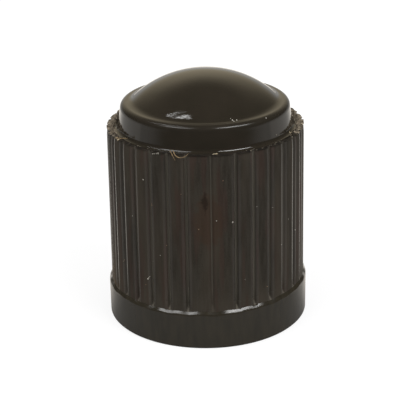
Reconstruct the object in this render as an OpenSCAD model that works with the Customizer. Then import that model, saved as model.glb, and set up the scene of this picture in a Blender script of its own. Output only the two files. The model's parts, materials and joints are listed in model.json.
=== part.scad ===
// Screw-on cap for a tyre valve, moulded in one piece.
// All sizes are in millimetres. The cap stands on its open mouth, with the
// origin at the middle of the mouth and +Z up the axis to the top of the dome.

/* [Base ring] */
// Diameter of the smooth ring round the mouth, at its shoulder
ring_d = 10.48; // [10.3:0.02:11]
// Diameter of the ring at its bottom edge
ring_foot_d = 10.42; // [10.2:0.02:10.9]
// Height at which the ring's shoulder meets the skirt
ring_h = 2; // [1.4:0.05:2.8]
// Radius of the ring's rounded shoulder
ring_round = 0.16; // [0.1:0.02:0.36]
// Slope of the shoulder and of the grooves' lower ends, in degrees from level
shoulder_slope = 48; // [46:1:60]
// Chamfer on the ring's outer bottom edge
ring_edge = 0.06; // [0.02:0.01:0.15]

/* [Ribbed skirt] */
// Diameter over the ribs at the foot of the skirt
skirt_d = 10.2; // [10:0.02:10.24]
// Height of the skirt's top face above the mouth
skirt_h = 10.34; // [9.6:0.02:11]
// Draft of the skirt, in degrees on each side
skirt_draft = 0.35; // [0:0.05:0.8]
// Number of ribs
rib_count = 32; // [24:1:36]
// Angle taken by each of the two ribs beside the parting line
seam_rib_angle = 14.1; // [10:0.1:16]
// Angle of the parting line from the front of the cap
seam_angle = 2.6; // [-20:0.1:20]
// Depth of a groove between two ribs
groove_depth = 0.2; // [0.14:0.01:0.28]
// Depth of the groove on the parting line
seam_groove_depth = 0.11; // [0.08:0.01:0.2]
// Radius at the root of a groove
groove_root = 0.04; // [0.03:0.005:0.05]
// Angle between a groove's side and the radial direction
groove_flank = 24; // [15:1:32]
// Radius on the edges of a rib
rib_round = 0.15; // [0.08:0.01:0.16]
// Angle that is left between a rib's rounding and its crest
rib_corner = 15; // [10:1:40]

/* [Crown] */
// Diameter of the collar above the skirt, at the rim
collar_d = 8.68; // [8.4:0.02:9]
// Draft of the collar's side, in degrees
collar_draft = 5; // [2:0.5:7]
// Radius in the corner between collar and skirt
collar_fillet = 0.2; // [0.08:0.02:0.24]
// Height of the rim above the skirt's top face
rim_rise = 1.27; // [0.9:0.01:1.6]
// Radius of the rim's outer shoulder
rim_round = 0.32; // [0.15:0.01:0.36]
// Diameter of the dome where its sphere meets the rim's plane
dome_d = 7.45; // [6.6:0.05:7.55]
// Height of the dome above the rim
dome_rise = 1.43; // [1.1:0.01:1.8]
// Radius of the hollow blend between dome and rim
dome_blend = 0.75; // [0.5:0.05:0.8]

/* [Threaded bore] */
// Bore at the crests of the 8V1 valve thread
bore_d = 6.94; // [6.8:0.01:7.1]
// Length of the threaded wall
thread_len = 6.3; // [4.5:0.1:7]
// Diameter of the plain lead-in at the mouth
lead_in_d = 8.1; // [7.8:0.05:8.6]
// Depth of the plain lead-in
lead_in_h = 0.5; // [0.3:0.05:1]
// Diameter of the pocket for the end of the valve's pin
pocket_d = 5.9; // [5.8:0.05:6.4]
// Thickness of the wall between pocket and dome, on the axis
crown_wall = 1.9; // [1.7:0.05:2.6]
// Radius in the pocket's upper corner
pocket_round = 0.7; // [0.3:0.05:1]

/* [Hidden] */
$fn = 96;
// small overlap that carries a cut past the face it opens
cut_over = 0.5;

// radii and heights that follow from the sizes above
ring_r = ring_d / 2;
skirt_r = skirt_d / 2;
skirt_top_r = skirt_r - (skirt_h - ring_h) * tan(skirt_draft);
rim_z = skirt_h + rim_rise;
total_h = rim_z + dome_rise;
collar_r = collar_d / 2;
collar_foot_r = collar_r + rim_rise * tan(collar_draft);
thread_z = lead_in_h + (lead_in_d - bore_d) / 2;
pocket_z = thread_z + thread_len;
roof_z = total_h - crown_wall;

// point where the ring's rounding turns into the slope of its shoulder
turn_r = ring_r - ring_round * (1 - sin(shoulder_slope));
turn_z = ring_h - (turn_r - skirt_r) * tan(shoulder_slope);
shoulder_z = turn_z - ring_round * cos(shoulder_slope);

// sphere of the dome, from its rise over its base circle
dome_r = (pow(dome_d / 2, 2) + pow(dome_rise, 2)) / (2 * dome_rise);
dome_z = total_h - dome_r;

// circle of the hollow blend, tangent to the sphere and to the rim's plane
blend_z = rim_z + dome_blend;
blend_r = sqrt(pow(dome_r + dome_blend, 2) - pow(blend_z - dome_z, 2));
touch_share = dome_r / (dome_r + dome_blend);
touch_r = blend_r * touch_share;
touch_z = dome_z + (blend_z - dome_z) * touch_share;

// the ribs that don't touch the parting line share the rest of the circle
rib_angle = (360 - 2 * seam_rib_angle) / (rib_count - 2);
function groove_angle(i) = i == 0 ? 0 : seam_rib_angle + (i - 1) * rib_angle;

// Ring round the mouth: a tapered wall, a rounding, and a slope up to the skirt
module ring_section() {
  polygon([
    [0, 0],
    [ring_foot_d / 2 - ring_edge, 0],
    [ring_foot_d / 2, ring_edge],
    [ring_r, shoulder_z],
    [turn_r, turn_z],
    [skirt_r, ring_h],
    [0, ring_h]
  ]);
  translate([ring_r - ring_round, shoulder_z]) circle(r = ring_round);
}

// Skirt without its grooves
module skirt_section() {
  foot_z = ring_h / 2;
  polygon([
    [0, foot_z],
    [skirt_r, foot_z],
    [skirt_r, ring_h],
    [skirt_top_r, skirt_h],
    [0, skirt_h]
  ]);
}

// Collar with its drafted side, the fillet at its foot and its rounded rim
module collar_section() {
  round_r = collar_r - rim_round;
  side_r = collar_r + rim_round * tan(collar_draft);
  polygon([
    [0, ring_h],
    [collar_foot_r, ring_h],
    [collar_foot_r, skirt_h],
    [side_r, rim_z - rim_round],
    [round_r, rim_z - rim_round],
    [round_r, rim_z],
    [0, rim_z]
  ]);
  intersection() {
    translate([round_r, rim_z - rim_round]) circle(r = rim_round);
    translate([0, rim_z - rim_round]) square([ring_r, rim_round]);
  }
  difference() {
    translate([collar_foot_r - collar_fillet, skirt_h - collar_fillet])
      square(2 * collar_fillet);
    translate([collar_foot_r + collar_fillet, skirt_h + collar_fillet])
      circle(r = collar_fillet);
  }
}

// Dome: a slice of a sphere that runs out into the rim through a hollow blend
module dome_section() {
  intersection() {
    translate([0, dome_z]) circle(r = dome_r);
    translate([0, rim_z - dome_rise]) square([touch_r, 2 * dome_rise]);
  }
  difference() {
    polygon([
      [0, rim_z - rim_round],
      [blend_r, rim_z - rim_round],
      [blend_r, rim_z],
      [touch_r, touch_z],
      [0, touch_z]
    ]);
    translate([blend_r, blend_z]) circle(r = dome_blend);
  }
}

// Outer shape of the cap before the grooves are cut
module cap_body() {
  rotate_extrude() {
    intersection() {
      union() {
        ring_section();
        skirt_section();
        collar_section();
        dome_section();
      }
      square([ring_d, 2 * total_h]);
    }
  }
}

// Section across a groove, with its root at x = 0 and +x pointing outwards
module groove_section(depth) {
  // the rib's rounding meets the crest at an angle of rib_corner, and it
  // stays smaller than the groove is deep
  edge = min(rib_round, 0.9 * depth);
  round_x = depth - edge * cos(rib_corner);
  root = min(groove_root, depth / 3);
  root_x = root * (1 - sin(groove_flank));
  root_y = root * cos(groove_flank);
  flank_x = round_x + edge * sin(groove_flank);
  flank_y = root_y + (flank_x - root_x) * tan(groove_flank);
  round_y = flank_y + edge * cos(groove_flank);
  half = [
    [root_x, root_y],
    [flank_x, flank_y],
    [flank_x, round_y],
    [depth + cut_over, round_y]
  ];
  translate([root, 0]) circle(r = root);
  difference() {
    polygon(concat(half, [for (i = [3:-1:0]) [half[i][0], -half[i][1]]]));
    for (side = [-1, 1]) {
      translate([round_x, side * round_y]) circle(r = edge);
    }
  }
}

// One groove, cut from the ring up through the skirt's top face.
// It leans inwards with the skirt's draft.
module groove(depth) {
  translate([skirt_r - depth, 0, ring_h])
    rotate([0, -skirt_draft, 0])
      translate([0, 0, -ring_h / 2])
        linear_extrude(height = skirt_h - ring_h / 2 + cut_over)
          groove_section(depth);
}

// Room that the grooves may take: its lower face is the slope at their ends
module groove_zone() {
  inner_r = skirt_r - 2 * groove_depth;
  outer_r = ring_r + cut_over;
  rotate_extrude() {
    polygon([
      [inner_r, ring_h + (skirt_r - inner_r) * tan(shoulder_slope)],
      [skirt_r, ring_h],
      [outer_r, ring_h],
      [outer_r, skirt_h + cut_over],
      [collar_foot_r + collar_fillet, skirt_h + cut_over],
      [collar_foot_r + collar_fillet, skirt_h - cut_over],
      [inner_r, skirt_h - cut_over]
    ]);
  }
}

module grooves() {
  intersection() {
    for (i = [0:rib_count - 1]) {
      rotate([0, 0, seam_angle - 90 + groove_angle(i)])
        groove(i == 0 ? seam_groove_depth : groove_depth);
    }
    groove_zone();
  }
}

// Inside: lead-in, bore for the thread, seat and pocket
module inside() {
  translate([0, 0, -cut_over]) cylinder(h = lead_in_h + cut_over, d = lead_in_d);
  translate([0, 0, lead_in_h])
    cylinder(h = thread_z - lead_in_h, d1 = lead_in_d, d2 = bore_d);
  translate([0, 0, thread_z - cut_over])
    cylinder(h = thread_len + cut_over, d = bore_d);
  rotate_extrude() pocket_section();
}

// Pocket above the thread, with a rounded upper corner
module pocket_section() {
  pocket_r = pocket_d / 2;
  translate([0, pocket_z - cut_over])
    square([pocket_r, roof_z - pocket_round - pocket_z + cut_over]);
  translate([0, pocket_z]) square([pocket_r - pocket_round, roof_z - pocket_z]);
  intersection() {
    translate([pocket_r - pocket_round, roof_z - pocket_round]) circle(r = pocket_round);
    translate([0, pocket_z]) square([pocket_d, roof_z - pocket_z]);
  }
}

module valve_cap() {
  color([0.2, 0.18, 0.16])
    difference() {
      cap_body();
      grooves();
      inside();
    }
}

valve_cap();
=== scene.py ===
# %% [markdown]
# # A tyre valve cap
# This lesson builds one small moulded part, the screw-on cap of a tyre valve. The solid
# model gives its place and its size, and everything here is made in metres in that frame:
# the cap stands on its open mouth, with the axis along +Z and its front towards -Y.

# %% Load the frame
import json
import math
import random
import bmesh
import bpy
from mathutils import Matrix, Vector, noise
from mathutils.bvhtree import BVHTree

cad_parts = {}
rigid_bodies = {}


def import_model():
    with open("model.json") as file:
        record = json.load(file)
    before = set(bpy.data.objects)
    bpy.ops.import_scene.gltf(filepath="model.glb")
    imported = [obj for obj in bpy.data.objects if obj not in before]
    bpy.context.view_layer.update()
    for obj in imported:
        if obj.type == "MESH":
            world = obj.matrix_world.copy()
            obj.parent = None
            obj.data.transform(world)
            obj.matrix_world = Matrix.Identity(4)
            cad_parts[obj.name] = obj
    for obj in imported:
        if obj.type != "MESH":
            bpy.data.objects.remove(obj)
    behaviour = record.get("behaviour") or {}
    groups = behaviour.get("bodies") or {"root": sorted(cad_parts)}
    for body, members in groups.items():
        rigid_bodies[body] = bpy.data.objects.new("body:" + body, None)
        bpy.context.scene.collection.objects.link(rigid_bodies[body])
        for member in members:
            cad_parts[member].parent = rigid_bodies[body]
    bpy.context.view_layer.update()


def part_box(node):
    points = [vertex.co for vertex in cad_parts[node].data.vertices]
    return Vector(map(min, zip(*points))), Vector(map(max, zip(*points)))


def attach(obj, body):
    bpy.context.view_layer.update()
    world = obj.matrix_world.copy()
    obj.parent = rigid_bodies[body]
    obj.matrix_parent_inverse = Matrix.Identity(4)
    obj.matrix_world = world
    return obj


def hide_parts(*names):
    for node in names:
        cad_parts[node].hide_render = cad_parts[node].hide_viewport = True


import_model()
low, high = (Vector(corner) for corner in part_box("valve_cap"))
scene = bpy.context.scene
MM = 0.001
print("cap box in mm:", [round(v / MM, 2) for v in (*low, *high)])

# %% [markdown]
# The frame's box gives the cap's height and the ring's radius. The other sizes are those
# of the solid's parts, as on a mould maker's drawing, and each one stands in the cell that
# first needs it. All lengths are kept in metres.

# %% Overall sizes
TOTAL_H = high.z
RING_R = high.x
print("height and ring radius in mm:", round(TOTAL_H / MM, 3), round(RING_R / MM, 3))

# %% [markdown]
# The camera repeats the photograph's view. A small object that is taken from close by
# shows strong perspective, so its distance matters as much as its direction: here it is
# about 71 mm away, 22 degrees above the horizon, and turned by about one degree.

# %% Camera
VIEW_ELEVATION = math.radians(22.32)
VIEW_ROLL = math.radians(0.929)
VIEW_DISTANCE = 71.0 * MM
VIEW_AIM = Vector((0.071, 0.0, 5.546)) * MM
LENS_IN_MM = 116.8


def make_camera():
    data = bpy.data.cameras.new("photo_camera")
    data.lens = LENS_IN_MM
    data.sensor_width = 36.0
    data.clip_start = 0.001
    data.clip_end = 10.0
    camera = bpy.data.objects.new("photo_camera", data)
    scene.collection.objects.link(camera)
    back = Vector((0, -math.cos(VIEW_ELEVATION), math.sin(VIEW_ELEVATION)))
    up = Vector((0, math.sin(VIEW_ELEVATION), math.cos(VIEW_ELEVATION)))
    right = Vector((1, 0, 0))
    c, s = math.cos(VIEW_ROLL), math.sin(VIEW_ROLL)
    axes = Matrix((c * right - s * up, s * right + c * up, back)).transposed().to_4x4()
    camera.matrix_world = Matrix.Translation(VIEW_AIM + back * VIEW_DISTANCE) @ axes
    scene.camera = camera
    return camera


camera = make_camera()
print("camera at mm:", [round(v / MM, 1) for v in camera.matrix_world.translation])

# %% [markdown]
# All materials and node trees are built by one small helper. It adds a node to a tree, sets
# its options, and fills its inputs: in order, by name, or by number where a node has two
# inputs of one name. A number or a colour is set, and another node's output is linked.
# Maths on values is named by its operation alone. A fade or a range takes a value, the two
# values between which it runs, and what it gives at each of the two. Colours are written
# as hex values, as a paint chart gives them, and are turned into the linear values that a
# renderer works with.

# %% Helpers for nodes and colours
# Short names: the node's type, its settings, the inputs that are filled, the output used.
SHORT_NAMES = {
    "axes": ("ShaderNodeSeparateXYZ", {}, (0,), None),
    "range": ("ShaderNodeMapRange", {}, (0, 1, 2, 3, 4), 0),
    "fade": ("ShaderNodeMapRange", {"interpolation_type": "SMOOTHSTEP"}, (0, 1, 2, 3, 4), 0),
    "mix": ("ShaderNodeMix", {}, (0, 2, 3), 0),
    "blend": ("ShaderNodeMix", {"data_type": "RGBA"}, (0, 6, 7), 2),
    "layer": ("ShaderNodeMixShader", {}, (0, 1, 2), 0),
}


def node_adder(tree):
    def add(kind, *values, out=0, **settings):
        sockets = range(len(values))
        if kind in SHORT_NAMES:
            kind, settings, sockets, out = SHORT_NAMES[kind]
        elif kind.startswith("VECTOR_"):
            kind, settings = "ShaderNodeVectorMath", {"operation": kind.removeprefix("VECTOR_")}
        elif kind.isupper():
            kind, settings = "ShaderNodeMath", {"operation": kind}
        item = tree.nodes.new(kind)
        for name, setting in settings.items():
            setattr(item, name, setting)
        by_name = values and isinstance(values[0], dict)
        for socket, value in (values[0].items() if by_name else zip(sockets, values)):
            if isinstance(value, bpy.types.NodeSocket):
                tree.links.new(value, item.inputs[socket])
            else:
                item.inputs[socket].default_value = value
        if out is None or not len(item.outputs):
            return item.outputs
        return item.outputs[out]
    return add


def linear(hex_colour):
    channels = [int(hex_colour[i:i + 2], 16) / 255 for i in (1, 3, 5)]
    rgb = [c / 12.92 if c <= 0.04045 else ((c + 0.055) / 1.055) ** 2.4 for c in channels]
    return (*rgb, 1.0)


print("linear value of #808080:", round(linear("#808080")[0], 4))

# %% [markdown]
# The photograph was taken in a white sweep: the paper is bright behind and beside the
# cap, and the room in front of it and overhead is dim. A glossy dark part shows that
# mostly in its reflections, so the world is bright towards +Y and dim towards the
# camera. The camera itself sees plain white, and so would anything seen through glass.

# %% Studio world
ROOM_LEVEL = 0.05
SOFT_FILL = 0.7
WHITE = (1, 1, 1, 1)


def make_world():
    world = bpy.data.worlds.new("white_sweep")
    scene.world = world
    world.use_nodes = True
    world.node_tree.nodes.clear()
    add = node_adder(world.node_tree)
    way = add("axes", add("ShaderNodeTexCoord", out="Generated"))
    # What the gloss sees of the sweep: brightest low down and straight behind the cap.
    sideways = add("ABSOLUTE", add("ADD", way["X"], 0.04))
    low_down = add("fade", way["Z"], 0.45, 0.86, 0.66, 0.0)
    straight = add("fade", sideways, 0.05, 0.8, 1.0, 0.0)
    behind = add("fade", way["Y"], 0.0, 0.3, 0.0, 1.0)
    level = add("MULTIPLY_ADD", add("MULTIPLY", low_down, straight), behind, ROOM_LEVEL)
    warmth = add("fade", way["Z"], 0.0, 0.28, 0.0, 1.0)
    tint = add("blend", warmth, linear("#fffefa"), linear("#fff0cf"))
    gloss_sees = add("ShaderNodeBackground", tint, level)
    soft_fill = add("ShaderNodeBackground", WHITE, SOFT_FILL)
    camera_sees = add("ShaderNodeBackground", WHITE, 1.0)
    ray = add("ShaderNodeLightPath", out=None)
    lit = add("layer", ray["Is Glossy Ray"], soft_fill, gloss_sees)
    in_view = add("MAXIMUM", ray["Is Camera Ray"], ray["Is Transmission Ray"])
    add("ShaderNodeOutputWorld", add("layer", in_view, lit, camera_sees))


make_world()
scene.view_settings.view_transform = "Standard"
print("view transform:", scene.view_settings.view_transform)

# %% [markdown]
# The floor is the same white paper. It takes the cap's soft shadow, and a part of its
# white is a glow that only camera and glossy rays see, so that the paper looks white
# without throwing more light on the cap. In the gloss the paper fades towards the front:
# the foot of the ring mirrors white paper, and the collar mirrors the dim side of the room.

# %% Floor
PAPER = (0.3, 0.3, 0.3, 1)
PAPER_GLOW = 0.76
PAPER_HALF = 1.5


def paper_material():
    material = bpy.data.materials.new("white_paper")
    material.use_nodes = True
    material.node_tree.nodes.clear()
    add = node_adder(material.node_tree)
    place = add("axes", add("ShaderNodeTexCoord", out="Object"))
    # What the gloss sees of the paper: bright beside and behind the cap, dim before it.
    near = add("fade", add("ABSOLUTE", place["X"]), 8 * MM, 40 * MM, 1.0, 0.2)
    behind = add("fade", place["Y"], -2 * MM, 5 * MM, 0.0, 0.85)
    level = add("MULTIPLY_ADD", near, behind, ROOM_LEVEL)
    dim = add("fade", place["Y"], -80 * MM, -5 * MM, 1.0, 0.0)
    ray = add("ShaderNodeLightPath", out=None)
    none = add("ShaderNodeEmission", WHITE, 0.0)
    mirrored = add("ShaderNodeEmission", linear("#fff6e8"), level)
    gloss = add("layer", ray["Is Glossy Ray"], none, mirrored)
    in_view = add("MAXIMUM", ray["Is Camera Ray"], ray["Is Transmission Ray"])
    glow = add("layer", in_view, gloss, add("ShaderNodeEmission", WHITE, PAPER_GLOW))
    hidden = add("MULTIPLY", ray["Is Glossy Ray"], dim)
    sheet = add("layer", hidden, add("ShaderNodeBsdfDiffuse", PAPER), none)
    add("ShaderNodeOutputMaterial", add("ShaderNodeAddShader", sheet, glow))
    return material


def make_floor():
    mesh = bpy.data.meshes.new("paper_floor")
    corners = [(x * PAPER_HALF, y * PAPER_HALF, 0)
               for x, y in ((-1, -1), (1, -1), (1, 1), (-1, 1))]
    mesh.from_pydata(corners, [], [(0, 1, 2, 3)])
    mesh.materials.append(paper_material())
    floor = bpy.data.objects.new("paper_floor", mesh)
    scene.collection.objects.link(floor)


make_floor()
print("paper floor:", 2 * PAPER_HALF, "m wide")

# %% [markdown]
# Two soft boxes stand high in front of the cap, one to each side. Their reflections are
# the short bright streaks on the rim, the collar's foot and the ring, and the dark gap
# between the streaks is the room between the two boxes. The streaky highlight on the dome
# comes from three thin tubes under the ceiling. All the lamps stand equally far away. An
# area lamp's power is worked out from its radiance, so that a change of its size changes
# the size of its reflection, and not how bright that reflection is.

# %% Lamps
LAMP_DISTANCE = 0.3
TUBES_ALONG = (0.854, -0.35, 0.415)
# Direction, direction of the long side, width and length in metres, and radiance.
LAMPS = {
    "ceiling_tube_1": ((-0.51, -0.05, 0.859), TUBES_ALONG, 0.004, 0.13, 8.0),
    "ceiling_tube_2": ((-0.479, 0.015, 0.878), TUBES_ALONG, 0.006, 0.2, 13.0),
    "ceiling_tube_3": ((-0.448, 0.08, 0.891), TUBES_ALONG, 0.004, 0.12, 7.0),
    "soft_box_left": ((-0.478, -0.39, 0.787), (0.803, -0.554, 0.216), 0.05, 0.17, 6.5),
    "soft_box_right": ((0.468, -0.401, 0.789), (0.757, 0.606, -0.24), 0.055, 0.19, 12.0),
}


def make_lamp(name, direction, along, width, length, radiance):
    data = bpy.data.lights.new(name, "AREA")
    data.shape = "ELLIPSE"
    data.size = width
    data.size_y = length
    area = math.pi / 4 * width * length
    data.energy = radiance * math.pi * area
    lamp = bpy.data.objects.new(name, data)
    scene.collection.objects.link(lamp)
    way = Vector(direction).normalized()
    lamp.location = Vector((0, 0, TOTAL_H / 2)) + way * LAMP_DISTANCE
    across = Vector(along).cross(way).normalized()
    lamp.rotation_euler = Matrix((across, way.cross(across), way)).transposed().to_euler()
    print(name, "energy", round(data.energy, 3))


for lamp_name, lamp_values in LAMPS.items():
    make_lamp(lamp_name, *lamp_values)

# %% [markdown]
# The cap is one moulding, so it is one closed mesh. Its walls follow a section that is
# turned about the axis: from the top of the dome, over the rim, down the collar and the
# skirt, under the mouth, and back up through the bore to the pocket's roof. The section
# is drawn from straight lines and arcs, with the same sizes as the solid. A turned mesh of
# our own was chosen over Blender's Screw modifier, because its columns can be placed.

# %% Lines and arcs of a section
SAME_POINT = 1e-7


def arc(centre, radius, start_deg, end_deg, steps):
    angles = [math.radians(start_deg + (end_deg - start_deg) * i / steps)
              for i in range(steps + 1)]
    return [(centre[0] + radius * math.cos(a), centre[1] + radius * math.sin(a))
            for a in angles]


def line(start, end, steps):
    return [(start[0] + (end[0] - start[0]) * i / steps,
             start[1] + (end[1] - start[1]) * i / steps) for i in range(steps + 1)]


def join(*parts):
    points = []
    for part in parts:
        for point in part:
            if not points or math.dist(point, points[-1]) > SAME_POINT:
                points.append(point)
    return points


print("points of a quarter arc:", len(arc((0, 0), MM, 0, 90, 8)))

# %% [markdown]
# The crown is the part that the tear left whole. Its dome is a slice of a sphere, which
# runs out through a hollow blend into the flat rim. Below the rim's rounded edge the
# collar widens with its draft, down to a small fillet. The rim and the collar's foot lie
# about a tenth of a millimetre lower here than in the solid (LEDGE_DROP), because the
# highlights showed their true place when the solid was already settled.

# %% Section of the crown
SKIRT_H = 10.34 * MM
COLLAR_R = 4.34 * MM
COLLAR_DRAFT = math.radians(5)
COLLAR_FILLET = 0.24 * MM
LEDGE_DROP = 0.12 * MM
RIM_ROUND = 0.32 * MM
DOME_BASE_R = 3.796 * MM
DOME_RISE = 1.495 * MM
DOME_BLEND = 0.57 * MM
RIM_Z = TOTAL_H - DOME_RISE
COLLAR_FOOT_R = COLLAR_R + (RIM_Z - SKIRT_H) * math.tan(COLLAR_DRAFT)


def crown_section():
    dome_r = (DOME_BASE_R ** 2 + DOME_RISE ** 2) / (2 * DOME_RISE)
    dome_z = TOTAL_H - dome_r
    blend_z = RIM_Z + DOME_BLEND
    blend_r = math.sqrt((dome_r + DOME_BLEND) ** 2 - (blend_z - dome_z) ** 2)
    lean = math.degrees(math.atan2(blend_z - dome_z, blend_r))
    dome = arc((0, dome_z), dome_r, 90, lean, 26)
    blend = arc((blend_r, blend_z), DOME_BLEND, lean + 180, 270, 9)
    rim = arc((COLLAR_R - RIM_ROUND, RIM_Z - RIM_ROUND), RIM_ROUND, 90, 0, 9)
    fillet_z = SKIRT_H - LEDGE_DROP + COLLAR_FILLET
    side = line((COLLAR_R, RIM_Z - RIM_ROUND), (COLLAR_FOOT_R, fillet_z), 7)
    fillet = arc((COLLAR_FOOT_R + COLLAR_FILLET, fillet_z), COLLAR_FILLET, 180, 255, 5)
    return join(dome, blend, rim, side, fillet)


crown = crown_section()
print("crown section has", len(crown), "points")

# %% [markdown]
# The skirt was torn open along its top: a skin of plastic that once ran from the collar
# over the ribs has been pulled off. What is left is a rough, light face with a ragged
# outer edge. Its rows are laid flat here, and their unevenness is added below. The rows of
# the skirt lie closer together near its top and near the ring, where the shape changes.
# The ring has a sloped and rounded shoulder, and stands on a small chamfered edge.

# %% Rows of the torn face, the skirt and the ring
SKIRT_R = 5.1 * MM
SKIRT_DRAFT = math.radians(0.35)
RING_FOOT_R = 5.235 * MM
RING_H = 2.0 * MM
RING_ROUND = 0.16 * MM
RING_EDGE = 0.06 * MM
SHOULDER_SLOPE = math.radians(48)
SKIRT_TOP_R = SKIRT_R - (SKIRT_H - RING_H) * math.tan(SKIRT_DRAFT)
TORN_ROWS = 11
SKIRT_ROWS_MM = (0.03, 0.07, 0.12, 0.2, 0.3, 0.45, 0.7, 1.1, 1.6, 2.2, 2.9, 3.6, 4.3, 5.0, 5.7,
                 6.3, 6.8, 7.2, 7.5, 7.75, 7.95, 8.1, 8.2, 8.28, 8.35, 8.41)


def crest_r(z):
    return SKIRT_R - (z - RING_H) * math.tan(SKIRT_DRAFT)


def ring_section():
    top_deg = 90 - math.degrees(SHOULDER_SLOPE)
    turn_r = RING_R - RING_ROUND * (1 - math.sin(SHOULDER_SLOPE))
    turn_z = RING_H - (turn_r - SKIRT_R) * math.tan(SHOULDER_SLOPE)
    shoulder = (RING_R - RING_ROUND, turn_z - RING_ROUND * math.cos(SHOULDER_SLOPE))
    slope = line((SKIRT_R, RING_H), (turn_r, turn_z), 4)
    side = line((RING_R, shoulder[1]), (RING_FOOT_R, RING_EDGE), 6)
    edge = line((RING_FOOT_R, RING_EDGE), (RING_FOOT_R - RING_EDGE, 0), 2)
    return join(slope, arc(shoulder, RING_ROUND, top_deg, 0, 6), side, edge)


torn = line((crown[-1][0], SKIRT_H), (SKIRT_TOP_R, SKIRT_H), TORN_ROWS)[1:]
skirt = [(crest_r(SKIRT_H - d * MM), SKIRT_H - d * MM) for d in SKIRT_ROWS_MM]
ring = ring_section()
print("rows of the torn face, the skirt and the ring:", len(torn), len(skirt), len(ring))

# %% [markdown]
# The inside is hidden in the photograph, so it is what such caps have: a plain lead-in, a
# bore for the thread, a seat that stops on the valve, and a rounded pocket for its pin.
# The bore's wall has many rows, because the thread is cut into it further below.

# %% Rows of the inside
LEAD_IN_R = 4.05 * MM
LEAD_IN_H = 0.5 * MM
BORE_R = 3.47 * MM
THREAD_LEN = 6.3 * MM
THREAD_ROWS = 96
POCKET_R = 2.95 * MM
POCKET_ROUND = 0.7 * MM
CROWN_WALL = 1.9 * MM
THREAD_Z = LEAD_IN_H + LEAD_IN_R - BORE_R
POCKET_Z = THREAD_Z + THREAD_LEN
ROOF_Z = TOTAL_H - CROWN_WALL


def inside_section():
    lead_in = join(line((RING_FOOT_R - RING_EDGE, 0), (LEAD_IN_R, 0), 4)[1:],
                   line((LEAD_IN_R, 0), (LEAD_IN_R, LEAD_IN_H), 3),
                   line((LEAD_IN_R, LEAD_IN_H), (BORE_R, THREAD_Z), 5))
    wall = line((BORE_R, THREAD_Z), (BORE_R, POCKET_Z), THREAD_ROWS)
    seat = line((BORE_R, POCKET_Z), (POCKET_R, POCKET_Z), 3)
    pocket = line((POCKET_R, POCKET_Z), (POCKET_R, ROOF_Z - POCKET_ROUND), 4)
    corner = arc((POCKET_R - POCKET_ROUND, ROOF_Z - POCKET_ROUND), POCKET_ROUND, 0, 90, 7)
    roof = line((POCKET_R - POCKET_ROUND, ROOF_Z), (0, ROOF_Z), 6)
    return join(lead_in, wall, seat, pocket, corner, roof)


inside = inside_section()
print("rows of the inside:", len(inside), "with the roof at z", round(ROOF_Z / MM, 2), "mm")

# %% [markdown]
# A groove only looks crisp if mesh columns run along its edges. So the columns are not
# spread evenly: each groove gets nineteen of them close together, where its root, its sides
# and the rounded rib edges lie, and the flat crest between two grooves gets only a few.
# The same points give the groove's depth curve, from its root out to the crest. Beyond the
# rounding, a narrow strip that handling has worn down runs out into the crest.

# %% Columns round the skirt
RIB_COUNT = 32
SEAM_RIB = math.radians(14.1)
SEAM_ANGLE = math.radians(2.6)
GROOVE_DEPTH = 0.2 * MM
GROOVE_ROOT = 0.04 * MM
GROOVE_FLANK = math.radians(24)
RIB_ROUND = 0.15 * MM
RIB_CORNER = math.radians(15)
RIB_POLISH = 0.08 * MM
PLAIN_COLUMNS = 160


def groove_curve():
    depth = GROOVE_DEPTH
    round_x = depth - RIB_ROUND * math.cos(RIB_CORNER)
    root_x = GROOVE_ROOT * (1 - math.sin(GROOVE_FLANK))
    root_y = GROOVE_ROOT * math.cos(GROOVE_FLANK)
    flank_x = round_x + RIB_ROUND * math.sin(GROOVE_FLANK)
    flank_y = root_y + (flank_x - root_x) * math.tan(GROOVE_FLANK)
    round_y = flank_y + RIB_ROUND * math.cos(GROOVE_FLANK)
    crest_y = round_y - RIB_ROUND * math.sin(RIB_CORNER)
    points = [(0.0, 1.0), (root_y * 0.5, 1 - 0.13 * GROOVE_ROOT / depth),
              (root_y, 1 - root_x / depth), (flank_y, 1 - flank_x / depth)]
    for share in (0.35, 0.7):
        y = flank_y + (crest_y - flank_y) * share
        x = round_x + math.sqrt(RIB_ROUND ** 2 - (round_y - y) ** 2)
        points.append((y, 1 - x / depth))
    drop = RIB_POLISH * math.tan(RIB_CORNER) / 2
    for share in (0.0, 0.3, 0.6, 1.0):
        points.append((crest_y + share * RIB_POLISH, drop * (1 - share) ** 2 / depth))
    return points


curve = groove_curve()
GROOVE_HALF = curve[-1][0]
rib_angle = (2 * math.pi - 2 * SEAM_RIB) / (RIB_COUNT - 2)
groove_angles = [0.0] + [SEAM_RIB + i * rib_angle for i in range(RIB_COUNT - 1)]


def skirt_columns():
    offsets = [y / SKIRT_R for y, share in curve]
    angles = []
    for i, start in enumerate(groove_angles):
        end = groove_angles[i + 1] if i + 1 < RIB_COUNT else 2 * math.pi
        crest = [start + offsets[-1], end - offsets[-1]]
        angles += [start + o for o in offsets]
        angles += [crest[0] + (crest[1] - crest[0]) * k / 5 for k in range(1, 5)]
        angles += [end - o for o in reversed(offsets[1:])]
    return [a + SEAM_ANGLE - math.pi / 2 for a in angles]


outer_columns = skirt_columns()
plain_columns = [2 * math.pi * i / PLAIN_COLUMNS - math.pi / 2 for i in range(PLAIN_COLUMNS)]
print("groove half width in mm:", round(GROOVE_HALF / MM, 3), "columns:", len(outer_columns))

# %% [markdown]
# The torn face is uneven in three ways: broad lumps of about half a millimetre, cracks
# between smaller lumps, and a sharp grain of less than a tenth. Noise with a fixed place
# gives all three. At the sides the tear is deep and light; across the front it is thin,
# because the skin came off cleanly there. A point function takes a direction round the
# axis and a place on the section, and gives the real distance from the axis and height.

# %% Unevenness of the torn face
FRONT_HALF = math.radians(66)
FRONT_FADE = math.radians(12)
FRONT_THINNER = 0.8
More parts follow.
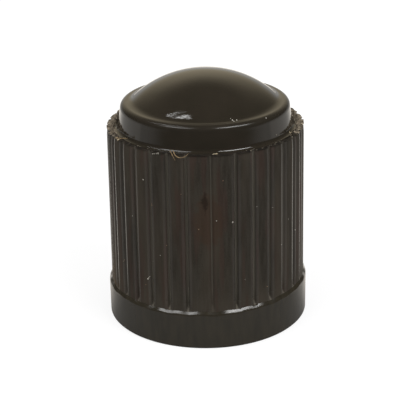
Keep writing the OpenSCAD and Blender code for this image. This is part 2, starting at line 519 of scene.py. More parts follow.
# How often each unevenness comes in a millimetre, and its height in millimetres.
TORN_LUMPS = (1.9, 0.12)
TORN_CRACKS = (2.6, 0.22)
TORN_GRAIN = (15.0, 0.04)
# The outer edge keeps this share of the unevenness, and hangs down this far.
EDGE_SHARE = 0.35
EDGE_SAG = 0.05 * MM


def front_share(angle):
    from_front = abs((angle + math.pi / 2 + math.pi) % (2 * math.pi) - math.pi)
    return max(0.0, min(1.0, (FRONT_HALF - from_front) / FRONT_FADE))


def bumps(kind, x, y, layer):
    scale, height_mm = kind
    return height_mm * noise.noise(Vector((x * scale, y * scale, layer)))


def torn_height(angle, r):
    x, y = r * math.cos(angle) / MM, r * math.sin(angle) / MM
    scale, height_mm = TORN_CRACKS
    apart = noise.voronoi(Vector((x * scale, y * scale, 0.4)))[0]
    crack = height_mm * (min(0.5, apart[1] - apart[0]) - 0.25)
    height = bumps(TORN_LUMPS, x, y, 3.1) + crack + bumps(TORN_GRAIN, x, y, 1.3)
    return height * (1 - FRONT_THINNER * front_share(angle)) * MM


def torn_point(angle, r, share):
    rise = math.sin(math.pi * min(1.0, share * 1.25 + 0.1))
    height = torn_height(angle, r) * (EDGE_SHARE + (1 - EDGE_SHARE) * rise)
    z = SKIRT_H + height - EDGE_SAG * share ** 3
    return r, z - LEDGE_DROP * (1 - share) ** 2


print("height at the left side in mm:", round(torn_height(math.pi, 4.8 * MM) / MM, 3))

# %% [markdown]
# The ring's shoulder isn't quite true either: it tilts to one side, waves a little, and
# dips below each groove. Plastic that shrinks in its mould does that, and the highlights
# along the shoulder show it. Beside the parting line the dips stand further apart, as the
# grooves do. The unevenness fades out up the skirt and down the ring. The skirt's top edge
# is ragged with the torn face above it.

# %% Unevenness of the ring's shoulder and of the skirt's edge
# A wave's scale is the radius of the circle of directions on which its noise is read.
FOOT_WAVE = (2.3, 0.035)
FOOT_RIPPLE = (5.2, 0.035)
FOOT_SCALLOP = 0.03
FOOT_RAISE = 0.035
FOOT_TILT = 0.02
FOOT_REACH = 2 * MM
RING_STILL = 0.9 * MM
# How far down the ragged edge reaches, and how far it is drawn in.
EDGE_REACH = 0.5 * MM
EDGE_INSET = 0.04 * MM


def foot_lift(angle, r):
    x, y = math.cos(angle), math.sin(angle)
    from_seam = (angle + math.pi / 2 - SEAM_ANGLE) % (2 * math.pi)
    from_seam = min(from_seam, 2 * math.pi - from_seam)
    steps = (from_seam - SEAM_RIB) / (SEAM_RIB if from_seam < SEAM_RIB else rib_angle)
    scallop = 0.5 + 0.5 * math.cos(2 * math.pi * steps)
    uneven = bumps(FOOT_WAVE, x, y, 5.0) + bumps(FOOT_RIPPLE, x, y, 9.0)
    uneven = uneven - FOOT_SCALLOP * scallop + FOOT_RAISE
    return FOOT_TILT * r * x + uneven * MM


def skirt_point(angle, r, z):
    fade = max(0.0, 1 - (SKIRT_H - z) / EDGE_REACH)
    edge = torn_height(angle, SKIRT_TOP_R) * EDGE_SHARE - EDGE_SAG
    low_share = max(0.0, 1 - (z - RING_H) / FOOT_REACH)
    return r - EDGE_INSET * fade, z + edge * fade ** 2 + foot_lift(angle, r) * low_share


def ring_point(angle, r, z):
    high_share = max(0.0, min(1.0, (z - RING_STILL) / (RING_H - RING_STILL)))
    return r, z + foot_lift(angle, r) * high_share


print("shoulder's lift at the right in mm:", round(foot_lift(0.0, SKIRT_R) / MM, 3))

# %% [markdown]
# Rows of points are laid round the axis, and each row is joined to the next. Where the
# number of columns changes, the two rows are stitched together by walking round both at
# once and always taking the nearer next point. A fan of triangles closes the dome's top
# and the pocket's roof.


# %% Laying and joining rows
def add_row(mesh, angles, place, r, along):
    row = []
    for angle in angles:
        row_r, z = place(angle, r, along)
        row.append(mesh.verts.new((row_r * math.cos(angle), row_r * math.sin(angle), z)))
    return row


def plain_point(angle, r, z):
    return r, z


def join_rows(mesh, upper, lower):
    count = len(upper)
    return [mesh.faces.new((upper[i], lower[i], lower[(i + 1) % count], upper[(i + 1) % count]))
            for i in range(count)]


def row_angle(row, i, start):
    vert = row[i % len(row)]
    turn = (math.atan2(vert.co.y, vert.co.x) - start) % (2 * math.pi)
    return turn + 2 * math.pi * (i >= len(row))


def stitch_rows(mesh, upper, lower):
    start = math.atan2(upper[0].co.y, upper[0].co.x) - 1e-6
    first = min(range(len(lower)), key=lambda i: row_angle(lower, i, start))
    lower = lower[first:] + lower[:first]
    i = j = 0
    while i < len(upper) or j < len(lower):
        upper_is_next = row_angle(upper, i + 1, start) <= row_angle(lower, j + 1, start)
        a, b = upper[i % len(upper)], lower[j % len(lower)]
        if j >= len(lower) or (i < len(upper) and upper_is_next):
            mesh.faces.new((a, b, upper[(i + 1) % len(upper)]))
            i += 1
        else:
            mesh.faces.new((a, b, lower[(j + 1) % len(lower)]))
            j += 1


def fan(mesh, row, z, upwards):
    pole = mesh.verts.new((0, 0, z))
    for a, b in zip(row, row[1:] + row[:1]):
        mesh.faces.new((pole, a, b) if upwards else (pole, b, a))


print("columns to stitch:", len(plain_columns), "to", len(outer_columns))

# %% [markdown]
# Now the mesh. Its rows are laid from the dome's top down the outside, and then up the
# inside. Each outer row says how its points are placed, how much of a groove's depth they
# take, and which finish the faces above them get. The depth's share stays on the points
# and the finish's number on the faces, for the trees that cut the grooves and the thread.

# %% The base mesh
GLOSS, RIBS, TORN, BORE = range(4)
SEAM_STEP = 0.015 * MM
# The grooves reach this share of the torn face's width in from the skirt's edge.
GROOVES_REACH = 0.65


def outer_rows():
    rows = []
    for i, (r, z) in enumerate(torn):
        share = (i + 1) / len(torn)
        groove_part = max(0.0, 1 - (1 - share) / GROOVES_REACH)
        rows.append((torn_point, r, share, groove_part, TORN))
    rows += [(skirt_point, r, z, 1.0, RIBS) for r, z in skirt]
    rows.append((ring_point, *ring[0], 1.0, RIBS))
    return rows + [(ring_point, r, z, 0.0, GLOSS) for r, z in ring[1:]]


def make_cap_mesh():
    mesh = bmesh.new()
    finish = mesh.faces.layers.int.new("finish")
    groove_share = mesh.verts.layers.float.new("groove_share")
    above = [add_row(mesh, plain_columns, plain_point, r, z) for r, z in crown[1:]]
    fan(mesh, above[0], crown[0][1], True)
    for upper, lower in zip(above, above[1:]):
        join_rows(mesh, upper, lower)
    seam_r = crown[-1][0] + SEAM_STEP
    last = add_row(mesh, outer_columns, plain_point, seam_r, crown[-1][1])
    stitch_rows(mesh, above[-1], last)
    for place, r, along, share, kind in outer_rows():
        row = add_row(mesh, outer_columns, place, r, along)
        for vert in row:
            vert[groove_share] = share
        for face in join_rows(mesh, last, row):
            face[finish] = kind
        last = row
    inner = [add_row(mesh, plain_columns, plain_point, r, z) for r, z in inside[:-1]]
    stitch_rows(mesh, last, inner[0])
    for upper, lower in zip(inner, inner[1:]):
        for face in join_rows(mesh, upper, lower):
            face[finish] = BORE
    fan(mesh, inner[-1], inside[-1][1], False)
    bmesh.ops.recalc_face_normals(mesh, faces=mesh.faces)
    data = bpy.data.meshes.new("cap_body")
    mesh.to_mesh(data)
    mesh.free()
    return data


cap = bpy.data.objects.new("cap_body", make_cap_mesh())
scene.collection.objects.link(cap)
print("base mesh:", len(cap.data.vertices), "points,", len(cap.data.polygons), "faces")

# %% [markdown]
# A finish is built from noise patterns, each sized in millimetres of the object, and from
# soft masks that say where a coat of colour or a duller gloss lies. These helpers draw a
# pattern, turn a value into two tones, begin and end a material, and mark a place on the
# cap with an uneven edge.

# %% Helpers for finishes
# Plastic and dry dirt both bend light by about this much.
IOR = 1.5


def pattern(add, where, size_mm, detail=3.0, stretch=(1, 1, 1)):
    scaled = add("ShaderNodeMapping", {"Vector": where, "Scale": stretch})
    return add("ShaderNodeTexNoise", {
        "Vector": scaled, "Scale": 1 / (size_mm * MM), "Detail": detail})


def two_tone(add, value, dark, light, start=0.35, end=0.65):
    return add("blend", add("range", value, start, end, 0.0, 1.0), linear(dark), linear(light))


def new_finish(name):
    material = bpy.data.materials.new(name)
    material.use_nodes = True
    material.node_tree.nodes.clear()
    add = node_adder(material.node_tree)
    return material, add, add("ShaderNodeTexCoord", out="Object")


def end_finish(add, sockets, bump=None):
    if bump:
        height, strength, depth_mm = bump
        sockets["Normal"] = add("ShaderNodeBump", {
            "Strength": strength, "Distance": depth_mm * MM, "Height": height})
    surface = add("ShaderNodeBsdfPrincipled", {"IOR": IOR, **sockets})
    add("ShaderNodeOutputMaterial", {"Surface": surface})


# A place given by its direction round the axis and its distance from the axis. A pattern
# on it is drawn out into lines that run round the cap, as rubbing marks do.
def round_place(add, where, turn_scale):
    flat = add("VECTOR_MULTIPLY", where, (1, 1, 0))
    way = add("axes", add("VECTOR_NORMALIZE", flat))
    return add("ShaderNodeCombineXYZ", add("MULTIPLY", way["X"], turn_scale),
               add("MULTIPLY", way["Y"], turn_scale), add("VECTOR_LENGTH", flat, out=1))


# A soft-edged patch round one place, with an uneven outline. It returns 1 in its middle.
def round_patch(add, where, place, size, wobble):
    scaled = add("VECTOR_DIVIDE", add("VECTOR_SUBTRACT", where, place), size)
    away = add("VECTOR_LENGTH", scaled, out=1)
    uneven = add("MULTIPLY_ADD", pattern(add, where, 0.3), wobble * 2, away)
    return add("fade", uneven, 0.7 + wobble, 1.1 + wobble, 1.0, 0.0)


# A kite-shaped patch: the distances along x and z are added, each as a share of its size.
def kite_patch(add, where, place, size):
    scaled = add("VECTOR_DIVIDE", add("VECTOR_SUBTRACT", where, place), size)
    away = add("VECTOR_DOT_PRODUCT", add("VECTOR_ABSOLUTE", scaled), (1, 0, 1), out=1)
    uneven = add("MULTIPLY_ADD", pattern(add, where, 0.16, 4.0), 1.2, away)
    return add("fade", uneven, 1.1, 1.8, 1.0, 0.0)


print("noise scale of a 0.3 mm pattern:", round(1 / (0.3 * MM)))

# %% [markdown]
# Moulded thermoplastic, such as polypropylene, copies the polish of its mould: the crown
# and the ring are smooth and glossy, with a very faint unevenness. It is dark brown, not
# black. The bore was shaped by a turned steel core, which left its fine rings. Every
# finish reads Object coordinates, so that its patterns stay put on the plastic.


# %% Polished and core-moulded plastic
# Polished moulded plastic: a clear gloss with a faint waviness and slight colour clouds.
# Fingers have worked on the ring, so its gloss is softer and smeared, with drawn streaks,
# and the rim's edge is a little dulled by rubbing. Fine marks run round the dome.
def polished_plastic():
    material, add, where = new_finish("polished_moulded_plastic")
    height = add("axes", where)["Z"]
    on_ring = add("fade", height, RING_H + 0.3 * MM, RING_H + 0.4 * MM, 1.0, 0.0)
    on_dome = add("fade", height, RIM_Z, RIM_Z + 0.1 * MM, 0.0, 1.0)
    above = add("fade", height, RIM_Z - 0.36 * MM, RIM_Z - 0.26 * MM, 0.0, 1.0)
    below = add("fade", height, RIM_Z - 0.02 * MM, RIM_Z + 0.04 * MM, 1.0, 0.0)
    on_rim = add("MULTIPLY", above, below)
    clear = two_tone(add, pattern(add, where, 1.6), "#2a261f", "#2e2922")
    drawn = two_tone(add, pattern(add, where, 0.35, 4.0, (1, 1, 0.2)), "#2e2a22", "#353026")
    sheen = add("fade", pattern(add, where, 0.3), 0.3, 0.7, 0.035, 0.075)
    sheen = add("mix", on_rim, sheen, 0.19)
    smear = add("fade", pattern(add, where, 0.4, 3.0, (1, 1, 0.5)), 0.3, 0.7, 0.12, 0.24)
    gloss = add("fade", on_ring, 0.0, 1.0, 0.64, 0.53)
    marks = pattern(add, round_place(add, where, 0.7 * MM), 0.1, 2.0)
    waves = add("MULTIPLY", pattern(add, where, 0.35, 2.0), 0.3)
    end_finish(add, {"Base Color": add("blend", on_ring, clear, drawn),
                     "Roughness": add("mix", on_ring, sheen, smear),
                     "Specular IOR Level": add("mix", on_rim, gloss, 0.42)},
               bump=(add("MULTIPLY_ADD", marks, on_dome, waves), 0.26, 0.01))
    return material


# Plastic inside the bore: unworn, with the turning marks of the mould's core, which
# break its gleam into fine rings.
def bore_plastic():
    material, add, where = new_finish("core_moulded_plastic")
    rings = pattern(add, where, 0.1, 2.0, (0.05, 0.05, 1))
    end_finish(add, {"Base Color": two_tone(add, rings, "#26221e", "#2e2924"),
                     "Roughness": 0.3}, bump=(rings, 0.2, 0.004))
    return material


POLISHED = polished_plastic()
BORE_FINISH = bore_plastic()
print("materials:", POLISHED.name, BORE_FINISH.name)

# %% [markdown]
# Handling has dulled the ribs. Their colour is built up like coats of paint: each coat has
# a mask, which says where and how strongly it lies, and a colour. Dust has settled in the
# grooves, and their colour is lightened there too, as painted light that cancels the shade
# in the grooves. The rib edges have been polished by fingers. Both follow the grooves, so
# the grooves' own tree, further below, writes them on the mesh as two attributes.

# %% Handled plastic
STAIN_AT = (0.1 * MM, -SKIRT_R, 6.9 * MM)
STAIN_SIZE = (0.75 * MM, 5 * MM, 1.5 * MM)
MARK_AT = (-0.08 * MM, -SKIRT_R, 7.9 * MM)
MARK_SIZE = (0.22 * MM, 5 * MM, 0.66 * MM)


# Handled moulded plastic: the same plastic with its polish rubbed off along the ribs, so
# that it looks soft and greyish, with a gleam on the rib edges only.
def handled_plastic():
    material, add, where = new_finish("handled_moulded_plastic")
    axes = add("axes", where)
    front = add("fade", axes["Y"], -4.9 * MM, -3.2 * MM, 1.0, 0.0)
    stain = add("MULTIPLY", round_patch(add, where, STAIN_AT, STAIN_SIZE, 0.35), front)
    mark = add("MULTIPLY", kite_patch(add, where, MARK_AT, MARK_SIZE), front)
    left = add("fade", axes["X"], -5.0 * MM, -4.3 * MM, 1.0, 0.0)
    low_left = add("MULTIPLY", left, add("fade", axes["Z"], 2.5 * MM, 4.4 * MM, 0.75, 0.0))
    patchy = add("fade", pattern(add, where, 0.4, 4.0), 0.38, 0.62, 0.1, 1.0)
    # Groove dust together with painted light: it lightens the grooves against their own shade.
    dust = add("ShaderNodeAttribute", out="Fac", attribute_name="groove_dust")
    grain = pattern(add, where, 0.06, 2.0)
    clouds = pattern(add, where, 1.1, 2.0, (1, 1, 0.15))
    reddish = pattern(add, where, 0.45, 3.0, (1, 1, 0.1))
    coats = [(add("fade", grain, 0.4, 0.75, 0.0, 0.25), "#4d483f"),
             (add("fade", clouds, 0.42, 0.62, 0.0, 0.6), "#494239"),
             # Painted light: the skirt is painted lighter towards the ring, over its lowest 1.6
             # mm.
             (add("fade", axes["Z"], RING_H, RING_H + 1.6 * MM, 0.35, 0.0), "#504a41"),
             (add("fade", reddish, 0.5, 0.64, 0.0, 0.45), "#44342e"),
             (add("MULTIPLY", stain, 0.6), "#43342a"),
             (add("MULTIPLY", low_left, patchy), "#54422a"),
             (add("MULTIPLY", mark, 0.6), "#211b16"),
             # Dust in the grooves, and painted light that lightens their shade.
             (add("fade", dust, 0.3, 0.9, 0.0, 0.85), "#6f6a60")]
    worn = two_tone(add, pattern(add, where, 0.16, 4.0, (1, 1, 0.12)), "#332f29", "#3d3933")
    for mask, colour in coats:
        worn = add("blend", mask, worn, linear(colour))
    edge = add("ShaderNodeAttribute", out="Fac", attribute_name="rib_edge")
    end_finish(add, {"Base Color": worn,
                     "Roughness": add("fade", edge, 0.1, 0.8, 0.6, 0.18),
                     "Specular IOR Level": add("fade", edge, 0.1, 0.8, 0.04, 0.36)},
               bump=(pattern(add, where, 0.08, 3.0, (1, 1, 0.25)), 0.35, 0.006))
    return material


HANDLED = handled_plastic()
print("material:", HANDLED.name, "with", len(HANDLED.node_tree.nodes), "nodes")

# %% [markdown]
# The torn face shows the plastic's rough inside. Where plastic is drawn before it tears, it
# whitens, so the deep tear at the sides is pale. A cut through one noise pattern gives the
# pale and the dark bits, and the same pattern shakes the line between side and front.


# %% Torn plastic
# Torn plastic: drawn, stress-whitened and rough, so it scatters light and shines little.
# It is pale at the sides and the back, and dark at the front. Next to the collar it is painted
# dark, as painted shade in the corner under the collar.
def torn_plastic():
    material, add, where = new_finish("torn_plastic")
    lumps = pattern(add, where, 0.22, 5.0)
    pale = two_tone(add, lumps, "#50473c", "#938775", 0.38, 0.62)
    clean = two_tone(add, lumps, "#1d1914", "#2e271f", 0.38, 0.62)
    shaken = add("MULTIPLY_ADD", lumps, 2 * MM, add("axes", where)["Y"])
    sideways = add("fade", shaken, -1.1 * MM, -0.4 * MM, 0.0, 1.0)
    radius = add("VECTOR_LENGTH", add("VECTOR_MULTIPLY", where, (1, 1, 0)), out=1)
    uneven = add("MULTIPLY_ADD", lumps, 0.4 * MM, radius)
    clear_of_collar = add("fade", uneven, 4.66 * MM, 4.82 * MM, 0.0, 1.0)
    # Painted shade: a dark band next to the collar's foot, where the corner is in shade.
    pale = add("blend", clear_of_collar, linear("#2c201a"), pale)
    end_finish(add, {"Base Color": add("blend", sideways, clean, pale), "Roughness": 0.62,
                     "Specular IOR Level": 0.3},
               bump=(pattern(add, where, 0.07, 4.0), 0.8, 0.03))
    return material


TORN_FINISH = torn_plastic()
print("material:", TORN_FINISH.name, "with", len(TORN_FINISH.node_tree.nodes), "nodes")

# %% [markdown]
# What repeats on the cap is made by Geometry Nodes. Each tree has named inputs for its
# sizes, and ends by making its instances real and by setting the material, so that the
# result can be kept as one plain mesh. These helpers begin and end a tree, fill its
# inputs, give a point's place round the axis, and move points.

# %% Helpers for node groups
SOCKET_KINDS = {int: "Int", float: "Float"}


def new_group(name, values):
    tree = bpy.data.node_groups.new(name, "GeometryNodeTree")
    tree.interface.new_socket("Geometry", in_out="INPUT", socket_type="NodeSocketGeometry")
    for label, value in values.items():
        kind = SOCKET_KINDS.get(type(value), "Material")
        tree.interface.new_socket(label, in_out="INPUT", socket_type="NodeSocket" + kind)
    tree.interface.new_socket("Geometry", in_out="OUTPUT", socket_type="NodeSocketGeometry")
    add = node_adder(tree)
    return tree, add, add("NodeGroupInput", out=None)


def finish_group(add, geometry, material, selection=True):
    real = add("GeometryNodeRealizeInstances", {"Geometry": geometry})
    dressed = add("GeometryNodeSetMaterial", {
        "Geometry": real, "Material": material, "Selection": selection})
    add("NodeGroupOutput", {"Geometry": dressed})


def is_finish(add, number):
    finish = add("GeometryNodeInputNamedAttribute", {"Name": "finish"}, data_type="INT")
    return add("FunctionNodeCompare", {2: finish, 3: number}, data_type="INT",
               operation="EQUAL")


def polar(add):
    axes = add("axes", add("GeometryNodeInputPosition"))
    angle = add("ARCTAN2", axes["Y"], axes["X"])
    flat = add("ShaderNodeCombineXYZ", axes["X"], axes["Y"])
    return angle, axes["Z"], add("VECTOR_NORMALIZE", flat)


def move_along(add, geometry, direction, amount):
    way = add("VECTOR_SCALE", {0: direction, "Scale": amount})
    return add("GeometryNodeSetPosition", {"Geometry": geometry, "Offset": way})


def product(add, *factors):
    result = factors[0]
    for factor in factors[1:]:
        result = add("MULTIPLY", result, factor)
    return result


def set_inputs(modifier, values):
    for item in modifier.node_group.interface.items_tree:
        if item.item_type == "SOCKET" and item.in_out == "INPUT" and item.name in values:
            modifier[item.identifier] = values[item.name]


def set_knots(socket, points):
    mapping = socket.node.mapping
    knots = mapping.curves[0].points
    for i, (x, y) in enumerate(points):
        knot = knots[i] if i in (0, 1) else knots.new(0.5, 0.5)
        knot.location = (x, y)
        knot.handle_type = "VECTOR"
    mapping.update()


print("kinds of named inputs:", [*SOCKET_KINDS.values(), "Material"])

# %% [markdown]
# The grooves repeat round the skirt by one rule, so Geometry Nodes cut them. The rule's
# first half finds, for each point, which groove is nearest and how far away it is along
# the surface. The two halves of the mould don't meet in step: next to the parting line at
# the front stand two wider ribs, with a shallow groove between them.

# %% The nearest groove
SEAM_GROOVE_DEPTH = 0.11 * MM
GROOVES = {
    "Groove count": RIB_COUNT, "Parting angle": SEAM_ANGLE - math.pi / 2, "Seam rib": SEAM_RIB,
    "Skirt radius": SKIRT_R, "Half width": GROOVE_HALF, "Depth": GROOVE_DEPTH,
    "Seam depth": SEAM_GROOVE_DEPTH, "Depth spread": 0.12, "Foot height": RING_H,
    "Foot tilt": FOOT_TILT * SKIRT_R, "End slope": SHOULDER_SLOPE, "Waver": 0.03 * MM,
    "Seed": 4, "Material": HANDLED}


def nearest_groove(add, given, angle):
    turned = add("WRAP", add("SUBTRACT", angle, given["Parting angle"]), 2 * math.pi, 0.0)
    regular = add("SUBTRACT", given["Groove count"], 2.0)
    spare = add("MULTIPLY", given["Seam rib"], 2.0)
    pitch = add("DIVIDE", add("SUBTRACT", 2 * math.pi, spare), regular)
    steps = add("DIVIDE", add("SUBTRACT", turned, given["Seam rib"]), pitch)
    nearest = add("MINIMUM", add("MAXIMUM", add("ROUND", steps), 0.0), regular)
    from_regular = add("ABSOLUTE", add("MULTIPLY", add("SUBTRACT", steps, nearest), pitch))
    from_seam = add("MINIMUM", turned, add("SUBTRACT", 2 * math.pi, turned))
    at_seam = add("LESS_THAN", from_seam, from_regular)
    away = add("MULTIPLY", add("MINIMUM", from_seam, from_regular), given["Skirt radius"])
    return nearest, at_seam, add("DIVIDE", away, given["Half width"])


print("groove pitch in mm:", round(rib_angle * SKIRT_R / MM, 3))

# %% [markdown]
# The second half reads the depth from the section's curve, and moves the point inwards by
# that much. A groove's lower end rises on a slope, each groove is a little deeper or
# shallower than the next, and each wavers a little along its length. The same curve gives
# the dust in the groove, together with painted light that lightens the groove's shade, and
# another one the polish along the rib's edge.

# %% Node group that cuts the grooves
WAVER_LENGTH = 2.5 * MM
# How much a rib's edge is polished, from the groove's middle out to the crest.
EDGE_CURVE = [(0.0, 0.0), (0.24, 0.0), (0.3, 1.0), (0.8, 1.0), (0.98, 0.0), (1.0, 0.0)]


def grooves_group():
    tree, add, given = new_group("rib_grooves", GROOVES)
    angle, z, outwards = polar(add)
    nearest, at_seam, share = nearest_groove(add, given, angle)
    groove_share = add("GeometryNodeInputNamedAttribute", {"Name": "groove_share"},
                       data_type="FLOAT")
    section = add("ShaderNodeFloatCurve", {"Value": share})
    set_knots(section, [(y / GROOVE_HALF, part) for y, part in curve])
    luck = add("FunctionNodeRandomValue", {2: -1.0, 3: 1.0, "ID": nearest,
                                           "Seed": given["Seed"]}, out=1, data_type="FLOAT")
    uneven = add("MULTIPLY_ADD", luck, given["Depth spread"], 1.0)
    depth = add("mix", at_seam, add("MULTIPLY", given["Depth"], uneven), given["Seam depth"])
    side = add("VECTOR_DOT_PRODUCT", outwards, (1, 0, 0), out=1)
    foot = add("MULTIPLY_ADD", side, given["Foot tilt"], given["Foot height"])
    above = add("MAXIMUM", add("SUBTRACT", z, foot), 0.0)
    limit = add("DIVIDE", above, add("TANGENT", given["End slope"]))
    gentle = add("SUBTRACT", 1.0, add("MULTIPLY", at_seam, 0.7))
    cut = add("MINIMUM", add("MULTIPLY", section, depth), add("MULTIPLY", limit, gentle))
    shape = move_along(add, given["Geometry"], outwards, product(add, cut, groove_share, -1.0))
    clear_of_foot = add("range", above, 0.3 * MM, 1.2 * MM, 0.5, 1.0)
    thinner = add("MULTIPLY_ADD", clear_of_foot, 0.6, 0.4)
    dusty = add("SUBTRACT", 1.0, add("MULTIPLY", at_seam, 0.4))
    edge = add("ShaderNodeFloatCurve", {"Value": share})
    set_knots(edge, EDGE_CURVE)
    kept = add("SUBTRACT", 1.0, add("MULTIPLY", at_seam, 0.75))
    # The first attribute is groove dust together with painted light, which cancels the shade in
    # the groove.
    for name, factors in (("groove_dust", (section, groove_share, thinner, dusty)),
                          ("rib_edge", (edge, groove_share, kept, clear_of_foot))):
        shape = add("GeometryNodeStoreNamedAttribute", {
            "Geometry": shape, "Name": name, "Value": product(add, *factors)},
            data_type="FLOAT", domain="POINT")
    place = add("ShaderNodeCombineXYZ", add("MULTIPLY", nearest, 3.7),
                add("DIVIDE", z, WAVER_LENGTH))
    wave = add("ShaderNodeTexNoise", {"Vector": place, "Scale": 1.0, "Detail": 1.0})
    closeness = add("SUBTRACT", 1.0, add("MINIMUM", add("MULTIPLY", share, 0.4), 1.0))
    swing = product(add, add("SUBTRACT", wave, 0.5), given["Waver"], closeness, groove_share)
    sideways = add("VECTOR_CROSS_PRODUCT", outwards, (0, 0, 1))
    shape = move_along(add, shape, sideways, swing)
    finish_group(add, shape, given["Material"], is_finish(add, RIBS))
    return tree


cut_grooves = cap.modifiers.new("rib_grooves", "NODES")
cut_grooves.node_group = grooves_group()
set_inputs(cut_grooves, GROOVES)
print("grooves:", RIB_COUNT, "cut by", len(cut_grooves.node_group.nodes), "nodes")

# %% [markdown]
# The bore carries the thread of a tyre valve: a right-hand thread with 32 turns to the
# inch, cut at 60 degrees. It also follows a rule, so a second tree moves the bore's wall
# outwards wherever the helix has its hollow, and lets the thread fade out at both ends.

# %% Node group that cuts the thread
THREAD_PITCH = 25.4 / 32 * MM
THREAD = {
    "Pitch": THREAD_PITCH, "Depth": 0.41 * MM, "Start": THREAD_Z, "End": POCKET_Z,
    "Run-out": 0.5 * THREAD_PITCH, "Bore radius": BORE_R, "Material": BORE_FINISH}


def thread_group():
    tree, add, given = new_group("valve_thread", THREAD)
    angle, z, outwards = polar(add)
    turns = add("SUBTRACT", add("DIVIDE", z, given["Pitch"]), add("DIVIDE", angle, 2 * math.pi))
    middle = add("ABSOLUTE", add("MULTIPLY_ADD", add("FRACT", turns), 2.0, -1.0))
    hollow = add("range", middle, 0.2, 0.85, 1.0, 0.0)
    full_from = add("ADD", given["Start"], given["Run-out"])
    full_to = add("SUBTRACT", given["End"], given["Run-out"])
    start = add("range", z, given["Start"], full_from, 0.0, 1.0)
    end = add("range", z, full_to, given["End"], 1.0, 0.0)
    flat = add("VECTOR_MULTIPLY", add("GeometryNodeInputPosition"), (1, 1, 0))
    off_wall = add("SUBTRACT", add("VECTOR_LENGTH", flat, out=1), given["Bore radius"])
    on_wall = add("LESS_THAN", add("ABSOLUTE", off_wall), 0.01 * MM)
    amount = product(add, hollow, start, end, given["Depth"], on_wall)
    shape = move_along(add, given["Geometry"], outwards, amount)
    finish_group(add, shape, given["Material"], is_finish(add, BORE))
    return tree


cut_thread = cap.modifiers.new("valve_thread", "NODES")
cut_thread.node_group = thread_group()
set_inputs(cut_thread, THREAD)
print("turns in the thread:", round(THREAD_LEN / THREAD_PITCH, 1))

# %% [markdown]
# Both trees are now turned into one plain mesh. Smooth shading makes the walls round,
# with a hard line wherever two faces meet at a steep angle.

# %% Plain mesh of the cap
HARD_EDGE = math.radians(38)


def bake(thing):
    graph = bpy.context.evaluated_depsgraph_get()
    plain = bpy.data.meshes.new_from_object(thing.evaluated_get(graph))
    thing.modifiers.clear()
    thing.data = plain
    return plain


cap.data.materials.append(POLISHED)
cap.data.materials.append(TORN_FINISH)
marks = cap.data.attributes["finish"].data
for face, mark in zip(cap.data.polygons, marks):
    face.use_smooth = True
    face.material_index = 1 if mark.value == TORN else 0
body = bake(cap)
body.set_sharp_from_angle(angle=HARD_EDGE)
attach(cap, "root")
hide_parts("valve_cap")
print("cap body:", sum(len(f.vertices) - 2 for f in body.polygons), "triangles,",
      [m.name for m in body.materials])

# %% [markdown]
# Small bits cling to the cap: chips of torn plastic along the torn face, springy fibres
# drawn out of it, and grains of dust and grit on the ribs. Each bit must lie on what
# carries it. So a ray is sent to the finished mesh, from outside for the ribs and from
# above for the torn face and the dome, and the bit is put where the ray lands.

# %% Finding the surface
RAY_START = 8 * MM


def surface_of(thing):
    mesh = bmesh.new()
    mesh.from_mesh(thing.data)
    tree = BVHTree.FromBMesh(mesh)
    mesh.free()
    return tree


def outward(degrees):
    angle = math.radians(degrees)
    return Vector((math.sin(angle), -math.cos(angle), 0))


cap_surface = surface_of(cap)


def on_side(degrees, z_mm):
    way = outward(degrees)
    start = way * RAY_START + Vector((0, 0, z_mm * MM))
    return cap_surface.ray_cast(start, -way)[0]


def on_top(degrees, r_mm):
    start = outward(degrees) * r_mm * MM + Vector((0, 0, TOTAL_H + MM))
    return cap_surface.ray_cast(start, Vector((0, 0, -1)))[0]


print("torn face at the left lies at z", round(on_top(-80, 4.8).z / MM, 2), "mm")

# %% [markdown]
# Chips and grains are many and all alike, so one node tree makes them from a list of
# places: it puts a small faceted grain on each point, turns it by chance with a fixed
# seed, flattens it and gives it a size by chance between the smallest and the largest.
# A second use of the same tree first scatters its points over faces, for the crumbs that
# cover the torn face.

# %% Node group for chips and grains
# The tree's inputs, each with a value of its kind. Every set of grains gives its own.
GRAINS = {"Density": 0.0, "Seed": 0, "Smallest": 0.0, "Largest": 0.0, "Flatness": 0.0,
          "Material": None}
LONGER = 1.35
MOST_TURNED = (6.28, 0.5, 6.28)


def grains_group(name, scattered):
    tree, add, given = new_group(name, GRAINS)
    points = given["Geometry"]
    seed = given["Seed"]
    if scattered:
        points = add("GeometryNodeDistributePointsOnFaces", {
            "Mesh": points, "Density": given["Density"], "Seed": seed})
    grain = add("GeometryNodeMeshIcoSphere", {"Radius": 1.0, "Subdivisions": 1})
    turn = add("FunctionNodeRandomValue", {
        0: (0, 0, 0), 1: MOST_TURNED, "Seed": seed}, data_type="FLOAT_VECTOR")
    size = add("FunctionNodeRandomValue", {2: given["Smallest"], 3: given["Largest"],
                                           "Seed": seed}, out=1, data_type="FLOAT")
    scale = add("ShaderNodeCombineXYZ", add("MULTIPLY", size, LONGER), size,
                add("MULTIPLY", size, given["Flatness"]))
    placed = add("GeometryNodeInstanceOnPoints", {
        "Points": points, "Instance": grain, "Rotation": turn, "Scale": scale})
    finish_group(add, placed, given["Material"])
    return tree


placed_grains = grains_group("placed_grains", False)
scattered_grains = grains_group("scattered_grains", True)
print("grain trees:", placed_grains.name, scattered_grains.name)

# %% [markdown]
# A grain is only a pixel or two wide in the picture, so its finish has two near tones and
# no bump. What tells one kind from another is how dark it is and how much it shines.


# %% Finishes of the chips and grains
def plain_finish(name, dark, light, roughness):
    material, add, where = new_finish(name)
    tone = two_tone(add, pattern(add, where, 0.12, 2.0), dark, light, 0.4, 0.6)
    end_finish(add, {"Base Color": tone, "Roughness": roughness})
    return material


# Torn chips: thin pale flakes, lightened where they were stretched, matt.
CHIP_FINISH = plain_finish("torn_chips", "#655a4a", "#958873", 0.55)
